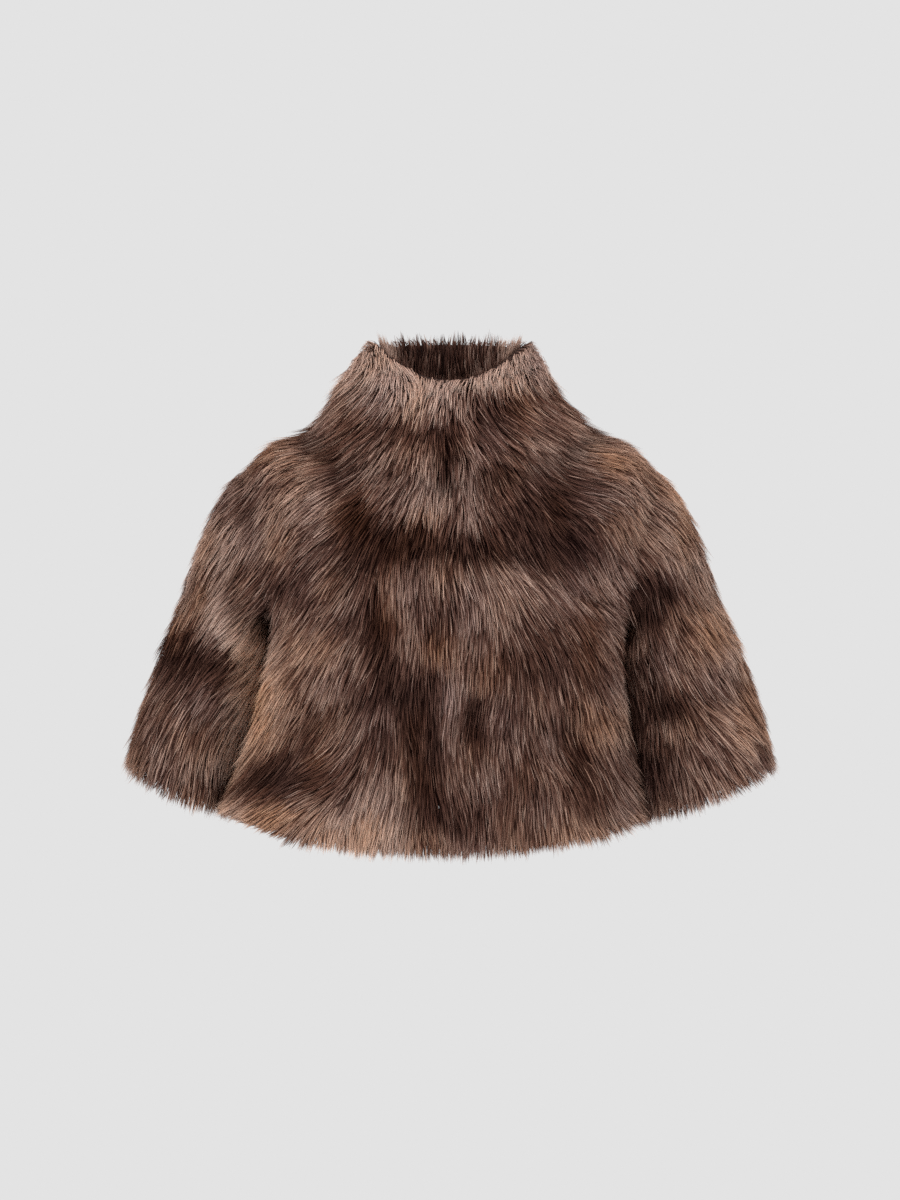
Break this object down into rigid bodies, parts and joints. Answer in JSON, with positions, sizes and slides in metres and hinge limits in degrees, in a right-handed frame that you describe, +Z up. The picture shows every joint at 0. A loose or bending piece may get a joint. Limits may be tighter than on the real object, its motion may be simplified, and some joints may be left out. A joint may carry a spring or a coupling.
{
  "type": "fur bolero",
  "caption": "Short fur jacket fastened down the front, with a funnel collar and wide elbow-length sleeves, hollow as when worn.",
  "frame": {"origin": "middle of the neck base, where the wearer's shoulders carry the garment", "axes": "+Z up, the garment's front faces -Y, +X towards the wearer's left"},
  "size_m": [0.6889, 0.3237, 0.5206],
  "materials": {
    "fur_front": "long brown fur, mottled, with tan tips",
    "fur_back": "long brown fur, mottled",
    "fur_sleeve": "long brown fur, mottled, with tan tips",
    "fur_collar": "long fur, mauve-brown with pale tips, dark inside"
  },
  "bodies": {
    "root": {"front_left": "fur_front", "front_right": "fur_front", "back": "fur_back", "sleeve_left": "fur_sleeve", "sleeve_right": "fur_sleeve", "collar": "fur_collar"}
  },
  "joints": []
}
